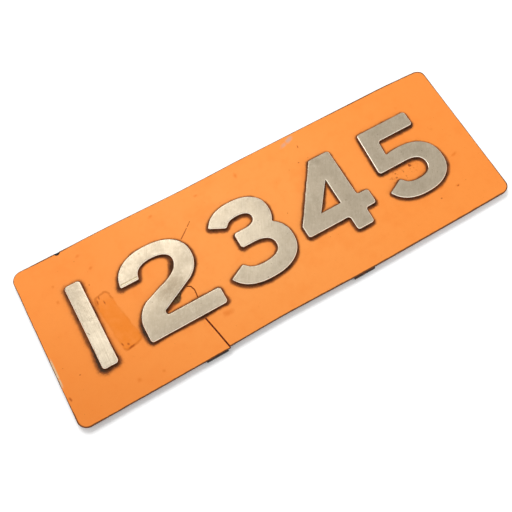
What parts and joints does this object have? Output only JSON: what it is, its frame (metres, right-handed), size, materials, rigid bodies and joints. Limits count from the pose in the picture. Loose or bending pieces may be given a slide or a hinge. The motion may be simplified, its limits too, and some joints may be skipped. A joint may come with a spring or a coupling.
{
  "type": "number plate",
  "caption": "Long rectangular board with round corners, raised metal numerals bedded on its face and two flat straps with tapped holes across its back.",
  "frame": {"origin": "under the middle of the board, on the plane of the straps' backs, which is the plane that the plate mounts against", "axes": "+X along the plate from the first numeral to the last, +Y towards the upper edge, +Z out of the face; the plate lies on its back"},
  "size_m": [0.635, 0.2216, 0.0148],
  "materials": {
    "orange_board": "aged orange paint on a brittle laminate, dark at its worn rim, cracked and scuffed",
    "numeral_metal": "satin face with fine scratches and a bright bevel, dark stained sides",
    "bedding_mastic": "hard dark brown mastic, uneven bead",
    "black_strap": "black paint on flat steel bar, worn to rust at the edges",
    "plated_steel": "dull zinc plating with brown stains",
    "spring_steel": "dark phosphated steel"
  },
  "bodies": {
    "root": {"face_panel": "orange_board", "strap_left": "black_strap", "strap_right": "black_strap", "numeral_one": "numeral_metal", "numeral_two": "numeral_metal", "numeral_three": "numeral_metal", "numeral_four": "numeral_metal", "numeral_five": "numeral_metal", "bedding_one": "bedding_mastic", "bedding_two": "bedding_mastic", "bedding_three": "bedding_mastic", "bedding_four": "bedding_mastic", "bedding_five": "bedding_mastic", "screws_one": "plated_steel", "screws_two": "plated_steel", "screws_three": "plated_steel", "screws_four": "plated_steel", "screws_five": "plated_steel", "washers_one": "plated_steel", "washers_two": "plated_steel", "washers_three": "plated_steel", "washers_four": "plated_steel", "washers_five": "plated_steel", "spring_washers_one": "spring_steel", "spring_washers_two": "spring_steel", "spring_washers_three": "spring_steel", "spring_washers_four": "spring_steel", "spring_washers_five": "spring_steel", "strap_screws_left": "plated_steel", "strap_screws_right": "plated_steel"}
  },
  "joints": []
}
